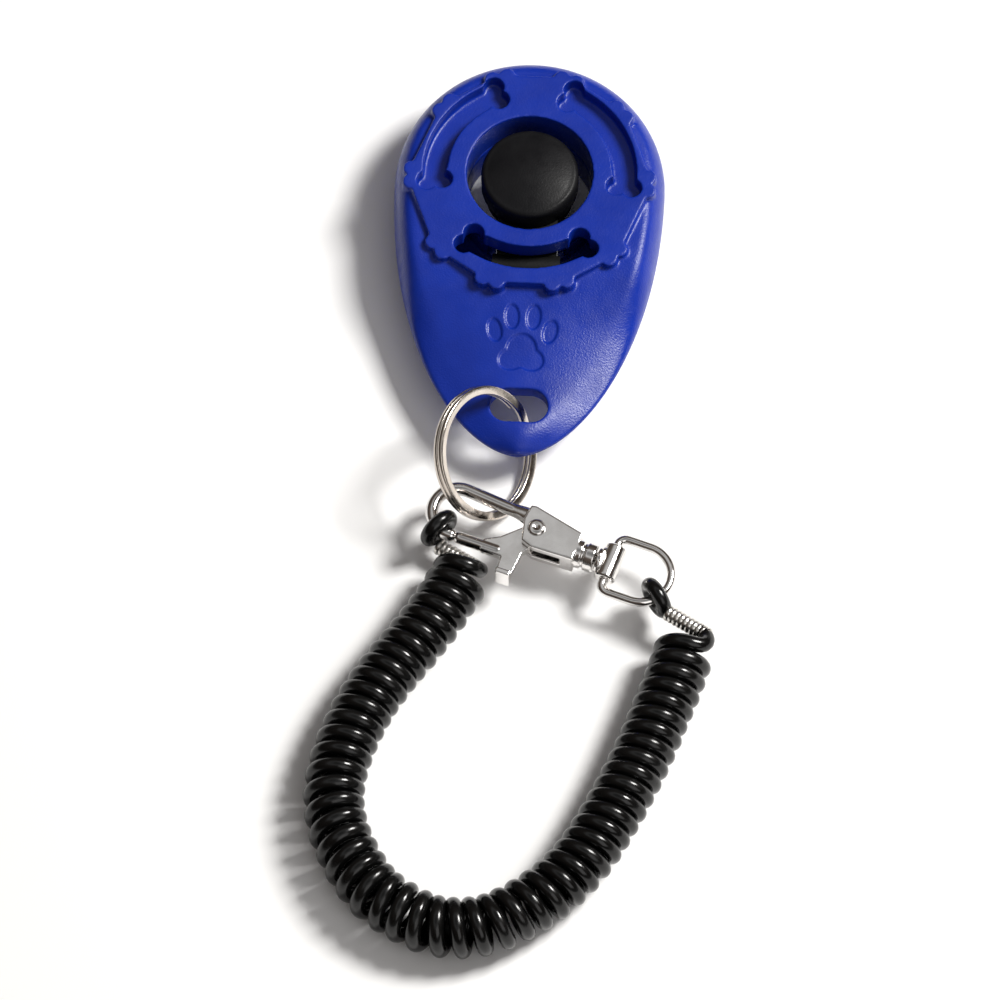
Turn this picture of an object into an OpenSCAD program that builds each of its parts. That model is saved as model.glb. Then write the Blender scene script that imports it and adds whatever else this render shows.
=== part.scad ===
// Training clicker: a teardrop shell with a round thumb button, on a split ring, a trigger snap
// and a coiled wrist strap. Millimetres, +Z up. The origin is on the button's axis, at the
// height of the flat back plateau that the clicker rests on. +Y points to the shell's round end.

/* [Shell] */
// Radius of the shell's round end
shell_r = 22; // [21:0.5:24]
// From the button's axis to the tip of the tail
tail_len = 48; // [47:0.5:52]
// Height from the back plateau to the front plateau
shell_h = 14; // [13.5:0.5:16]
// Thickness of the tail round the key-ring eye
tail_h = 5.4; // [4.8:0.2:6.4]
// Wall thickness of the two shells
wall = 1.8; // [1.5:0.1:2]
// How far each plateau stands proud of the domed face
plateau_step = 1; // [0.6:0.1:1.2]
// Radius of the raised plateau
plateau_r = 19.6; // [19:0.2:20]

/* [Button] */
// Radius of the hole round the button
hole_r = 10.25; // [9.8:0.05:10.6]
// Radius of the button cap
cap_r = 7.9; // [7:0.1:8.2]
// Height of the button's crown above the back plateau
cap_top = 15; // [13.8:0.1:15.2]
// Radius of the pin that the button lever turns on
pivot_r = 0.8; // [0.6:0.1:1]

/* [Sound slots] */
// Radius of the middle line of the three bone-shaped slots
slot_r = 15.4; // [15.2:0.1:15.5]
// Width of a slot between its knuckles
slot_w = 3.9; // [3.2:0.1:4]
// Depth of the two blind slots
pocket_depth = 2.5; // [2.1:0.1:2.6]

/* [Click plate] */
// Width of the spring-steel strip
plate_w = 10; // [8:0.5:10]
// Thickness of the strip
plate_t = 0.35; // [0.3:0.05:0.4]

/* [Key ring] */
// Radius of the ring's middle line
ring_r = 10.2; // [10:0.1:10.4]
// Thickness of the ring's two turns together, along its axis
ring_h = 1.8; // [1.6:0.1:2]
// Thickness of the ring's wire across the ring
ring_w = 1.5; // [1.2:0.1:1.6]

/* [Snap clasp] */
// Radius of the hook's bar
hook_bar_r = 1.1; // [0.9:0.05:1.1]
// Thickness of the clasp's body
clasp_h = 4.8; // [4.6:0.1:5.2]
// Radius of the D-loop's wire
loop_wire_r = 0.75; // [0.6:0.05:0.8]
// Inner half width of the D-loop, to the middle of its wire
loop_r = 5; // [5:0.05:5.2]

/* [Wrist strap] */
// Outer diameter of the coiled cord
coil_d = 10; // [8:0.5:10.5]
// Diameter of the cord itself
cord_d = 2.4; // [2:0.1:2.4]
// Diameter of the crimps
crimp_d = 2.7; // [2.4:0.1:2.8]

/* [Hidden] */
$fn = 48;
eps = 0.01;

// ---- shell outline and dome ----
outline_n = 64;
edge_n = 5;
mid_z = shell_h / 2;
tail_bulge = 1.12;
head_edge = 3.2;
tail_edge = 4.6;
taper_start = 10;
taper_len = 30;
eye_y = -40;
eye_r = 2.9;
eye_half = 1.8;
flare_z = [3.7, 6.9];
flare_w = 2.7;
solid_tail_y = -33;
collar_r = hole_r + 1.5;

// ---- button, lever and click plate ----
pivot_y = -14.4;
pivot_z = 8;
barrel_r = 2.1;
barrel_w = 11;
post_gap = 0.4;
post_w = 2;
lever_z = [6.2, 9.4];
lever_w = 9.6;
hub_r = 7.2;
socket_r = 2.2;
socket_h = 2.4;
running = 0.05;
snug = 0.02;
plate_z = 4.6;
plate_y = [-23, 4];
clamp_y = [-23, -18];
clamp_w = 17;
clamp_t = 1.8;
screw_x = 6.6;
screw_r = 0.8;
screw_head_r = 1.5;
screw_tip_z = 3.9;
peg_at = [[17.2, -6], [-17.2, -6], [0, 15.4], [0, -28.5]];
peg_r = 1.2;
peg_boss_r = peg_r + 1.1;
peg_len = 2.6;
window_w = 12.4;
window_z = [3.8, 9.9];

// ---- bone-shaped slots and the plateau's knobs ----
slot_at = [30, 150, 270];
slot_half = 37;
knuckle_r = 1.65;
knuckle_split = 1.25;
knuckle_out = 0.1;
skirt_h = 1.9;
skirt_drop = 1.2;
skirt_wall = 1.1;
plateau_y = -1.2;
knob_at = [0, 42, 73, 107, 138, 180, 222, 253, 287, 318];
knob_r = 1.35;
knob_split = 1.2;
knob_in = 0.35;

// ---- key ring ----
ring_at = [-5, -48.7, 9.1];
ring_tilt = [0, 50, -21];

// ---- clasp: its own frame has x along the clasp from the nose, y towards the ring ----
clasp_at = [-14, -56.5, 6.3];
clasp_turn = -18;
hook_r = 4.2;
hook_c = [hook_r + hook_bar_r, 0];
rivet_at = [18.5, 0.8];
rivet_r = 0.85;
rivet_head_r = 1.5;
slot_half_z = 0.95;
gate_z = 0.85;
gate_tip_x = 6.1;
collar_x = [25, 29];
clasp_collar_r = 2.4;
stem_r = 1;
head_x = [23.2, 24.4];
head_r = 1.6;
flange_x = [29.2, 30];
cross_x = 31.4;
cross_r = 1.8;
cross_half = 3.1;
loop_c = [36.6, 0];
loop_bend = 1.4;

// ---- strap ends ----
eye_ring_r = 2.4;
left_eye_angle = 243;
right_eye_angle = -38;
left_crimp = [[3.8, -5.5, -2.8], [11.6, -7.1, -2.8]];
right_crimp = [[43, -4.9, 0], [50.8, -6.6, 0]];

// Middle line of the coiled cord, from the D-loop round to the hook
coil_route = [
    [28.5, -80.5], [27, -86], [25, -92], [23, -98], [20, -105.5], [17, -112], [14, -117.5],
    [11, -121.5], [8, -124.5], [4, -127.5], [-0.5, -130], [-5.5, -131], [-10.5, -130.5],
    [-15.5, -128], [-19.5, -125], [-23, -120], [-25.5, -114.5], [-26.5, -109], [-26, -103.5],
    [-24.5, -98], [-22, -92], [-18.5, -86], [-15, -81], [-11.5, -75.5], [-7.8, -68.5]
];
coil_sides = 12;

blue = [0.02, 0.08, 0.62];
black = [0.06, 0.06, 0.06];
nickel = [0.75, 0.74, 0.72];
steel = [0.6, 0.6, 0.62];

function smooth(t) = t * t * (3 - 2 * t);
function limit(t) = max(0, min(1, t));
function taper(y) = smooth(limit((-y - taper_start) / taper_len));
function mix(a, b, t) = a + (b - a) * t;
function unit(v) = v / norm(v);

// Height of the domed face above the parting plane, and how far in its rounded edge reaches
function dome_h(y) = mix(mid_z - plateau_step, tail_h / 2, taper(y));
function edge_w(y) = mix(head_edge, tail_edge, taper(y));

// A round head, and a tail that narrows to a blunt tip; u runs once round from the top
function outline(u) =
    cos(u) >= 0
        ? [-shell_r * sin(u), shell_r * cos(u)]
        : [-shell_r * sign(sin(u)) * pow(abs(sin(u)), tail_bulge), tail_len * cos(u)];
function inward(u) =
    let (t = unit(outline(u + 1) - outline(u - 1)))
    [-t[1], t[0]];

// One ring of points of the dome: level 0 is the parting line, level edge_n the top of the edge
function dome_ring(level, inset, thin) = [
    for (i = [0 : outline_n - 1])
        let (
            u = 360 * i / outline_n,
            p = outline(u),
            a = 90 * level / edge_n,
            q = p + inward(u) * (inset + edge_w(p[1]) * (1 - cos(a)))
        )
        [q[0], q[1], (dome_h(q[1]) - thin) * sin(a)]
];

// Half of the pebble, from the parting plane (z = 0) up to the domed face
module half_pebble(inset, thin) {
    n = outline_n;
    points = [for (level = [0 : edge_n]) each dome_ring(level, inset, thin)];
    top = edge_n * n;
    sides = [
        for (level = [0 : edge_n - 1], i = [0 : n - 1])
            let (a = level * n + i, b = level * n + (i + 1) % n)
            each [[a, a + n, b + n], [a, b + n, b]]
    ];
    cap = [
        for (i = [0 : n / 2 - 1])
            let (a = top + i, b = top + i + 1, c = top + n - i - 1, d = top + (n - i) % n)
            each concat(i > 0 ? [[a, d, c]] : [], i < n / 2 - 1 ? [[a, c, b]] : [])
    ];
    base = [[for (i = [0 : n - 1]) i]];
    polyhedron(points = points, faces = concat(base, sides, cap), convexity = 4);
}

// Points along an arc of a circle
function polar(r, a) = r * [cos(a), sin(a)];
function lobe(c, r, from, to) = [for (i = [0 : 6]) c + polar(r, from + (to - from) * i / 6)];
function flipped(points) = [
    for (i = [len(points) - 1 : -1 : 0])
        [points[i][0], -points[i][1]]
];

// The two knuckles at one end of a bone-shaped slot, grown by g
function knuckles(g) =
    let (
        r = knuckle_r + g,
        meet = acos(knuckle_split / r),
        middle = slot_r + knuckle_out
    )
    concat(
        lobe(polar(middle + knuckle_split, slot_half), r, slot_half - 70, slot_half + 180 - meet),
        lobe(polar(middle - knuckle_split, slot_half), r, slot_half + meet, slot_half + 250)
    );

// Outline of a bone bent to an arc, with its middle on +X
function bone_outline(g) =
    let (a = slot_half - 9)
    concat(
        [for (i = [-4 : 4]) polar(slot_r + slot_w / 2 + g, a * i / 4)],
        knuckles(g),
        [for (i = [4 : -1 : -4]) polar(slot_r - slot_w / 2 - g, a * i / 4)],
        flipped(knuckles(g))
    );

module bone_slot(angle, z, h, grow) {
    rotate([0, 0, angle])
        translate([0, 0, z])
            linear_extrude(h)
                polygon(bone_outline(grow));
}

// Raised plateau: bone ends stand out round its edge, with straight bone sides between them
module plateau(z, h) {
    meet = asin(knob_split / knob_r);
    outline = [
        for (a = knob_at)
            let (
                c = polar(plateau_r - knob_in, a),
                side = polar(knob_split, a + 90)
            )
            each concat(
                lobe(c - side, knob_r, a - 100, a + meet),
                lobe(c + side, knob_r, a - meet, a + 100)
            )
    ];
    translate([0, plateau_y, z])
        linear_extrude(h)
            polygon(outline);
}

// Oval through the tail for the key ring
module key_eye() {
    translate([0, eye_y, -eps])
        linear_extrude(shell_h + 2 * eps) {
            square([2 * eye_half, 2 * eye_r], center = true);
            for (side = [-1, 1])
                translate([side * eye_half, 0])
                    circle(r = eye_r);
        }
}

// Flared back rim of the eye, where the ring passes under the tail
module eye_flare() {
    h = flare_z[1] - flare_z[0];
    wide = eye_r + flare_w;
    translate([0, eye_y, flare_z[0]]) {
        for (side = [-1, 1])
            translate([side * eye_half, 0, 0])
                cylinder(r1 = wide, r2 = eye_r, h = h);
        rotate([90, 0, 90])
            translate([0, 0, -eye_half])
                linear_extrude(2 * eye_half)
                    polygon([[-wide, 0], [wide, 0], [eye_r, h], [-eye_r, h]]);
    }
}

// Hollow of one shell: stops short of the solid tail and leaves the collar round the button
module hollow() {
    difference() {
        half_pebble(wall, wall);
        translate([-shell_r, solid_tail_y - tail_len, -eps])
            cube([2 * shell_r, tail_len, shell_h]);
        translate([0, 0, -eps])
            cylinder(r = collar_r, h = shell_h);
    }
}

// Opening in the collar for the lever's arm and the click plate
module collar_window() {
    translate([-window_w / 2, -collar_r - 0.6, window_z[0]])
        cube([window_w, 5, window_z[1] - window_z[0]]);
}

// The two posts that the pivot pin snaps down into
module pin_posts(base_z) {
    lip = 0.5;
    height = pivot_z + lip - base_z;
    difference() {
        for (side = [-1, 1])
            translate([side * (barrel_w / 2 + post_gap + post_w / 2), pivot_y, base_z + height / 2])
                cube([post_w, 3.6, height], center = true);
        translate([0, pivot_y, pivot_z])
            rotate([0, 90, 0])
                cylinder(r = pivot_r + snug, h = 40, center = true);
        translate([-20, pivot_y - 0.6, pivot_z])
            cube([40, 1.2, 4]);
    }
}

module front_shell() {
    pocket_z = shell_h - pocket_depth;
    skirt_z = pocket_z - skirt_drop;
    color(blue)
        difference() {
            union() {
                difference() {
                    union() {
                        translate([0, 0, mid_z])
                            half_pebble(0, 0);
                        plateau(mid_z + 2, mid_z - 2);
                    }
                    translate([0, 0, mid_z - eps])
                        hollow();
                }
                for (a = slot_at)
                    bone_slot(a, skirt_z, skirt_h, skirt_wall);
                for (p = peg_at) {
                    translate([p[0], p[1], mid_z])
                        cylinder(r = peg_boss_r, h = dome_h(p[1]) - wall + 0.4);
                    translate([p[0], p[1], mid_z - peg_len])
                        cylinder(r = peg_r, h = peg_len + 0.4);
                }
            }
            translate([0, 0, mid_z - eps])
                cylinder(r = hole_r, h = shell_h);
            for (a = [slot_at[0], slot_at[1]])
                bone_slot(a, pocket_z, pocket_depth + eps, 0);
            bone_slot(slot_at[2], skirt_z - 1, shell_h, 0);
            collar_window();
            key_eye();
        }
}

module back_shell() {
    floor_z = wall + plateau_step;
    color(blue)
        difference() {
            union() {
                difference() {
                    union() {
                        translate([0, 0, mid_z])
                            mirror([0, 0, 1])
                                half_pebble(0, 0);
                        plateau(0, mid_z - 2);
                    }
                    translate([0, 0, mid_z + eps])
                        mirror([0, 0, 1])
                            hollow();
                }
                pin_posts(floor_z - 0.4);
                clamp_seat();
                for (p = peg_at)
                    translate([p[0], p[1], mid_z - dome_h(p[1]) + wall - 0.4])
                        cylinder(r = peg_boss_r, h = dome_h(p[1]) - wall + 0.4);
            }
            translate([0, 0, -eps])
                cylinder(r = hole_r, h = shell_h);
            for (p = peg_at)
                translate([p[0], p[1], mid_z - peg_len - 0.4])
                    cylinder(r = peg_r + snug, h = peg_len + 1.4);
            collar_window();
            key_eye();
            eye_flare();
        }
}

// Pad and two bosses that the click plate's fixed end and its clamp are screwed down on
module clamp_seat() {
    y = clamp_y[0];
    len = clamp_y[1] - clamp_y[0];
    base = 3;
    difference() {
        union() {
            translate([-plate_w / 2, y, base])
                cube([plate_w, len, plate_z - base]);
            for (side = [-1, 1])
                translate([side * screw_x, y + len / 2, base])
                    cylinder(r = screw_head_r, h = plate_z + plate_t - base);
        }
        for (side = [-1, 1])
            translate([side * screw_x, y + len / 2, base + 0.3])
                cylinder(r = screw_r + snug, h = 4);
    }
}

module click_plate() {
    color(steel)
        translate([0, 0, plate_z])
            linear_extrude(plate_t)
                difference() {
                    union() {
                        translate([-plate_w / 2, plate_y[0]])
                            square([plate_w, plate_y[1] - plate_y[0]]);
                        translate([0, plate_y[1]])
                            circle(r = plate_w / 2);
                    }
                    translate([0, pivot_y])
                        circle(r = 1.5);
                }
}

module plate_clamp() {
    len = clamp_y[1] - clamp_y[0];
    color(black)
        translate([0, clamp_y[0] + len / 2, plate_z + plate_t])
            difference() {
                linear_extrude(clamp_t) {
                    square([clamp_w - len, len], center = true);
                    for (side = [-1, 1])
                        translate([side * (clamp_w - len) / 2, 0])
                            circle(d = len);
                }
                for (side = [-1, 1])
                    translate([side * screw_x, 0, -eps])
                        cylinder(r = screw_r + 0.1, h = clamp_t + 2 * eps);
            }
}

module clamp_screws() {
    top = plate_z + plate_t + clamp_t;
    color(steel)
        for (side = [-1, 1])
            translate([side * screw_x, (clamp_y[0] + clamp_y[1]) / 2, 0])
                difference() {
                    union() {
                        translate([0, 0, screw_tip_z])
                            cylinder(r = screw_r, h = top - screw_tip_z + eps);
                        translate([0, 0, top])
                            cylinder(r = screw_head_r, h = 1);
                    }
                    for (a = [0, 90])
                        rotate([0, 0, a])
                            translate([-1, -0.2, top + 0.5])
                                cube([2, 0.4, 1]);
                }
}

module pivot_pin() {
    color(steel)
        translate([0, pivot_y, pivot_z])
            rotate([0, 90, 0])
                cylinder(r = pivot_r, h = barrel_w + 2 * (post_gap + post_w), center = true);
}

module button_lever() {
    z = lever_z[0];
    h = lever_z[1] - lever_z[0];
    nub_z = plate_z + plate_t + running;
    color(black)
        difference() {
            union() {
                translate([0, 0, z])
                    cylinder(r = hub_r, h = h);
                translate([-lever_w / 2, pivot_y, z])
                    cube([lever_w, -pivot_y, h]);
                translate([0, pivot_y, pivot_z])
                    rotate([0, 90, 0])
                        cylinder(r = barrel_r, h = barrel_w, center = true);
                translate([0, 0, nub_z])
                    cylinder(r = 1.6, h = z - nub_z + eps);
                translate([0, 0, z + h - eps])
                    cylinder(r = socket_r, h = socket_h);
            }
            translate([0, pivot_y, pivot_z])
                rotate([0, 90, 0])
                    cylinder(r = pivot_r + running, h = barrel_w + 1, center = true);
        }
}

// Crowned cap; its socket presses over the lever's post
module button_cap() {
    z = lever_z[1];
    h = cap_top - z;
    crown = 1.1;
    rim = 0.9;
    color(black)
        difference() {
            translate([0, 0, z])
                rotate_extrude()
                    polygon([
                        [0, 0], [cap_r, 0], [cap_r, h - crown - rim],
                        for (a = [0 : 15 : 90])
                            [cap_r - rim + rim * cos(a), h - crown - rim + rim * sin(a)],
                        for (a = [1 : 5])
                            let (x = (cap_r - rim) * (1 - a / 5))
                            [x, h - crown * pow(x / (cap_r - rim), 2)]
                    ]);
            translate([0, 0, z - eps])
                cylinder(r = socket_r + snug, h = socket_h + 0.1);
        }
}

module split_ring() {
    corner = 0.35;
    w = ring_w / 2 - corner;
    h = ring_h / 2 - corner;
    color(nickel)
        translate(ring_at)
            rotate(ring_tilt)
                rotate_extrude($fn = 96)
                    translate([ring_r, 0])
                        polygon([
                            for (k = [0 : 3], a = [0 : 30 : 90])
                                let (sx = (k == 0 || k == 3) ? 1 : -1, sy = k < 2 ? 1 : -1)
                                [
                                    sx * w + corner * cos(a + 90 * k),
                                    sy * h + corner * sin(a + 90 * k)
                                ]
                        ]);
}

// ---- clasp ----
module in_clasp() {
    translate(clasp_at)
        rotate([0, 0, clasp_turn])
            children();
}

// Round bar between two points
module bar(p, q, r) {
    d = q - p;
    translate(p)
        rotate([0, acos(d[2] / norm(d)), atan2(d[1], d[0])])
            cylinder(r = r, h = norm(d));
}

// Piece of a round bar bent to an arc in the clasp's plane
module bent_bar(c, r, from, sweep, thick) {
    translate([c[0], c[1], 0])
        rotate([0, 0, from])
            rotate_extrude(angle = sweep)
                translate([r, 0])
                    circle(r = thick);
}

module clasp_body() {
    top = [hook_c[0], hook_r, 0];
    root = [17, 3.2, 0];
    color(nickel)
        in_clasp()
            difference() {
                union() {
                    bent_bar(hook_c, hook_r, 90, 183, hook_bar_r);
                    translate(top)
                        sphere(r = hook_bar_r);
                    bar(top, root, hook_bar_r);
                    translate([0, 0, -clasp_h / 2])
                        linear_extrude(clasp_h) {
                            polygon([
                                [16.6, 4.3], [25.6, 2.4], [25.6, -2.4], [19, -2.6], [16.9, -1.9], [16, 1.8]
                            ]);
                            translate([17, 3])
                                circle(r = 1.35);
                        }
                    bar([collar_x[0], 0, 0], [collar_x[1], 0, 0], clasp_collar_r);
                }
                translate([12, -6, -slot_half_z])
                    cube([11.6, 8.6, 2 * slot_half_z]);
                translate([rivet_at[0], rivet_at[1], 0])
                    cylinder(r = rivet_r + snug, h = 10, center = true);
                bar([22.6, 0, 0], [collar_x[0], 0, 0], head_r + 0.2);
                bar([22.6, 0, 0], [collar_x[1] + 1, 0, 0], stem_r + running);
                difference() {
                    bar([26.8, 0, 0], [27.3, 0, 0], clasp_collar_r + 1);
                    bar([26.7, 0, 0], [27.4, 0, 0], clasp_collar_r - 0.35);
                }
            }
}

module trigger_rivet() {
    head_h = 0.5;
    color(nickel)
        in_clasp()
            translate([rivet_at[0], rivet_at[1], 0]) {
                cylinder(r = rivet_r, h = clasp_h, center = true);
                for (side = [-1, 1])
                    translate([0, 0, side * (clasp_h + head_h) / 2])
                        cylinder(r = rivet_head_r, h = head_h, center = true);
            }
}

// Spring gate: a bar that closes the hook, a root that turns on the rivet and a thumb tab
module clasp_trigger() {
    gate_r = 1;
    color(nickel)
        in_clasp()
            difference() {
                union() {
                    translate([gate_tip_x + gate_r, -hook_r, 0])
                        sphere(r = gate_r);
                    bar([gate_tip_x + gate_r, -hook_r, 0], [13.5, -hook_r, 0], gate_r);
                    translate([0, 0, -gate_z])
                        linear_extrude(2 * gate_z) {
                            polygon([
                                [11, -5.1], [14.6, -5.2], [14.8, -8.4], [17.2, -8.4], [17.6, -3.4],
                                [20, -0.2], [17.2, 1.9], [15.6, 0.3], [13.4, -1.9], [11, -3.3]
                            ]);
                            translate(rivet_at)
                                circle(r = 1.7);
                        }
                    translate([16, -8.2, 0])
                        cube([2.4, 0.9, 4.2], center = true);
                }
                translate([rivet_at[0], rivet_at[1], 0])
                    cylinder(r = rivet_r + running, h = 4, center = true);
                translate([rivet_at[0], rivet_at[1], -gate_z - eps])
                    cylinder(r = 1.9, h = 0.5 + eps);
            }
}

// Torsion spring that shuts the gate, wound round the rivet under the gate's root
module trigger_spring() {
    wire_r = 0.2;
    color(steel)
        in_clasp()
            translate([rivet_at[0], rivet_at[1], -0.62]) {
                bent_bar([0, 0], 1.3, 0, 350, wire_r);
                bar([1.3, 0, 0], [3.6, -0.6, 0], wire_r);
            }
}

module swivel_post() {
    color(nickel)
        in_clasp()
            difference() {
                union() {
                    bar([head_x[0], 0, 0], [head_x[1], 0, 0], head_r);
                    bar([head_x[1] - eps, 0, 0], [cross_x, 0, 0], stem_r);
                    bar([flange_x[0], 0, 0], [flange_x[1], 0, 0], 2.2);
                    bar([cross_x, -cross_half, 0], [cross_x, cross_half, 0], cross_r);
                }
                for (side = [-1, 1])
                    bar([cross_x, side * 1.2, 0], [cross_x, side * 4, 0], loop_wire_r + snug);
            }
}

module swivel_loop() {
    r = loop_wire_r;
    turn_x = cross_x + loop_bend;
    turn_y = loop_r - loop_bend;
    color(nickel)
        in_clasp() {
            for (side = [-1, 1]) {
                bar([cross_x, side * 1.25, 0], [cross_x, side * turn_y, 0], r);
                bent_bar([turn_x, side * turn_y], loop_bend, side > 0 ? 90 : 180, 90, r);
                bar([turn_x, side * loop_r, 0], [loop_c[0], side * loop_r, 0], r);
            }
            bent_bar(loop_c, loop_r, -90, 180, r);
        }
}

// ---- strap ----
// Eye of cord round a bar that is bent about c: its plane stands across the bar
module cord_eye(c, r, angle) {
    translate([c[0], c[1], 0])
        rotate([0, 0, angle])
            translate([r, 0, 0])
                rotate([90, 0, 0])
                    rotate_extrude()
                        translate([eye_ring_r, 0])
                            circle(d = cord_d);
}

module cord_eye_left() {
    color(black)
        in_clasp()
            cord_eye(hook_c, hook_r, left_eye_angle);
}

module cord_eye_right() {
    color(black)
        in_clasp()
            cord_eye(loop_c, loop_r, right_eye_angle);
}

module crimp_left() {
    color(nickel)
        in_clasp()
            bar(left_crimp[0], left_crimp[1], crimp_d / 2);
}

module crimp_right() {
    color(nickel)
        in_clasp()
            bar(right_crimp[0], right_crimp[1], crimp_d / 2);
}

// The coiled cord's outer shape: a fat tube swept along its middle line, flat on the ground
module wrist_coil() {
    n = len(coil_route);
    s = coil_sides;
    r = coil_d / 2;
    points = [
        for (i = [0 : n - 1])
            let (
                t = unit(coil_route[min(i + 1, n - 1)] - coil_route[max(i - 1, 0)]),
                c = coil_route[i]
            )
            each [
                for (k = [0 : s - 1])
                    let (a = 360 * k / s, side = r * cos(a))
                    [c[0] - t[1] * side, c[1] + t[0] * side, r + r * sin(a)]
            ]
    ];
    sides = [
        for (i = [0 : n - 2], k = [0 : s - 1])
            let (a = i * s + k, b = i * s + (k + 1) % s)
            each [[a, a + s, b], [b, a + s, b + s]]
    ];
    first = [[for (k = [0 : s - 1]) k]];
    last = [[for (k = [s - 1 : -1 : 0]) (n - 1) * s + k]];
    color(black)
        polyhedron(points = points, faces = concat(sides, first, last), convexity = 6);
}

front_shell();
back_shell();
click_plate();
plate_clamp();
clamp_screws();
pivot_pin();
button_cap();
button_lever();
split_ring();
clasp_body();
clasp_trigger();
trigger_rivet();
trigger_spring();
swivel_post();
swivel_loop();
wrist_coil();
cord_eye_left();
cord_eye_right();
crimp_left();
crimp_right();
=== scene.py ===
# Looks of the training clicker: a moulded shell with a thumb button, on a split ring, a trigger
# snap and a coiled wrist strap. Shapes are built in millimetres, in the CAD frame, and turn to
# metres when a piece is finished.

import math

import bmesh
import bpy
import numpy as np
from mathutils import Matrix, Vector


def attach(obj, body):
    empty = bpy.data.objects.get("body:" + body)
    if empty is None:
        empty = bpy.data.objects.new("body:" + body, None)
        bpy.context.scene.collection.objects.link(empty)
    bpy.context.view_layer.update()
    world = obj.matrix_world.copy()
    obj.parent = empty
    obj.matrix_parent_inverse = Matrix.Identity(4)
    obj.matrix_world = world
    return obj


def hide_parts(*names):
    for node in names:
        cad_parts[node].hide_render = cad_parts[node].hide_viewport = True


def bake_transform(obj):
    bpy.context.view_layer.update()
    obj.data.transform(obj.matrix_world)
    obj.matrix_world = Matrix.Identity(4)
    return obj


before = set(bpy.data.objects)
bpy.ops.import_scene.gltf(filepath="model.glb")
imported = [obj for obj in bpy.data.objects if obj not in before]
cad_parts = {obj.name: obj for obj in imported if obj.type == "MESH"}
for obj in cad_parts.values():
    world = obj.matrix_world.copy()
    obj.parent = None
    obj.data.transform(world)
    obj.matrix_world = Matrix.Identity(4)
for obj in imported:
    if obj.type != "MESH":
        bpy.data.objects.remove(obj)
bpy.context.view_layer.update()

MM = 0.001
scene = bpy.context.scene

# ---------------------------------------------------------------- sizes, as in the CAD model (mm)
MID_Z = 7.0
SHELL_R, TAIL_LEN, SHELL_H, TAIL_H = 22.0, 48.0, 14.0, 5.4
WALL, PLATEAU_STEP, PLATEAU_R, PLATEAU_Y = 1.8, 1.0, 19.6, -1.2
TAIL_BULGE, HEAD_EDGE, TAIL_EDGE = 1.12, 3.2, 4.6
TAPER_START, TAPER_LEN = 10.0, 30.0
HOLE_R, COLLAR_R = 10.25, 11.75
EYE_Y, EYE_R, EYE_HALF = -40.0, 2.9, 1.8
SOLID_TAIL_Y = -33.0

# Window through the collar for the button's lever, low and high corner
WINDOW = (-6.2, -12.4, 3.8), (6.2, -7.4, 9.9)
# How the shell's halves are moulded: size of the remesh, passes of softening
SHELL_FINISH = 0.2, 12

# The clasp's own frame: its hook's end is at the origin, and the swivel is on +X
CLASP_PLACE = Matrix.Translation((-14.0, -56.5, 6.3)) @ Matrix.Rotation(math.radians(-18), 4, "Z")
# Start and end of each crimp, in the clasp's frame; the coil's cord goes into the end
HOOK_CRIMP = (3.8, -5.5, -2.8), (11.6, -7.1, -2.8)
LOOP_CRIMP = (43, -4.9, 0), (50.8, -6.6, 0)

CORD_D, EYE_CORD_D, COIL_R = 2.6, 2.4, 3.7
# Way from turn to turn in the coil's arms, and how much more it is round the bend
COIL_PITCH, BEND_PITCH = 2.72, 0.4
# Where round the coil the cord leaves for the loop's and the hook's crimp, in degrees
COIL_ENDS = (70, 80)

# Middle line of the coiled cord, from the D-loop round to the hook
COIL_ROUTE = [
    (28.5, -80.5), (27, -86), (25, -92), (23, -98), (20, -105.5), (17, -112), (14, -117.5),
    (11, -121.5), (8, -124.5), (4, -127.5), (-0.5, -130), (-5.5, -131), (-10.5, -130.5),
    (-15.5, -128), (-19.5, -125), (-23, -120), (-25.5, -114.5), (-26.5, -109), (-26, -103.5),
    (-24.5, -98), (-22, -92), (-18.5, -86), (-15, -81), (-11.5, -75.5), (-7.8, -68.5),
]


# ---------------------------------------------------------------- camera and light
def look_at(obj, target):
    obj.rotation_euler = (Vector(target) - obj.location).to_track_quat("-Z", "Y").to_euler()


def add_camera():
    turn, tilt, distance = math.radians(2.6), math.radians(64), 2.5
    target = Vector((-2.35, -54.98, 5)) * MM
    view_width = 1000 / 6.2 * MM
    back = Vector((math.sin(turn) * math.cos(tilt), -math.cos(turn) * math.cos(tilt), math.sin(tilt)))
    data = bpy.data.cameras.new("camera")
    data.sensor_width = 36
    data.lens = data.sensor_width * distance / view_width
    data.clip_end = 10
    camera = bpy.data.objects.new("camera", data)
    camera.location = target + back * distance
    scene.collection.objects.link(camera)
    look_at(camera, target)
    scene.camera = camera


def add_light(name, place, size, power, colour=(1, 1, 1)):
    data = bpy.data.lights.new(name, "AREA")
    data.shape = "RECTANGLE"
    data.size, data.size_y = size
    data.energy = power
    data.color = colour
    light = bpy.data.objects.new(name, data)
    light.location = place
    scene.collection.objects.link(light)
    look_at(light, (0, -0.05, 0))


add_camera()


# ---------------------------------------------------------------- mesh helpers (mm)
def solid(name, points, faces):
    """A new object from points and faces, with its faces turned outwards."""
    mesh = bpy.data.meshes.new(name)
    mesh.from_pydata([tuple(map(float, p)) for p in points], [], [tuple(map(int, f)) for f in faces])
    work = bmesh.new()
    work.from_mesh(mesh)
    bmesh.ops.remove_doubles(work, verts=work.verts, dist=1e-5)
    loose = [e for e in work.edges if not e.link_faces]
    bmesh.ops.delete(work, geom=loose, context="EDGES")
    bmesh.ops.recalc_face_normals(work, faces=work.faces)
    work.to_mesh(mesh)
    work.free()
    obj = bpy.data.objects.new(name, mesh)
    scene.collection.objects.link(obj)
    return obj


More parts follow.
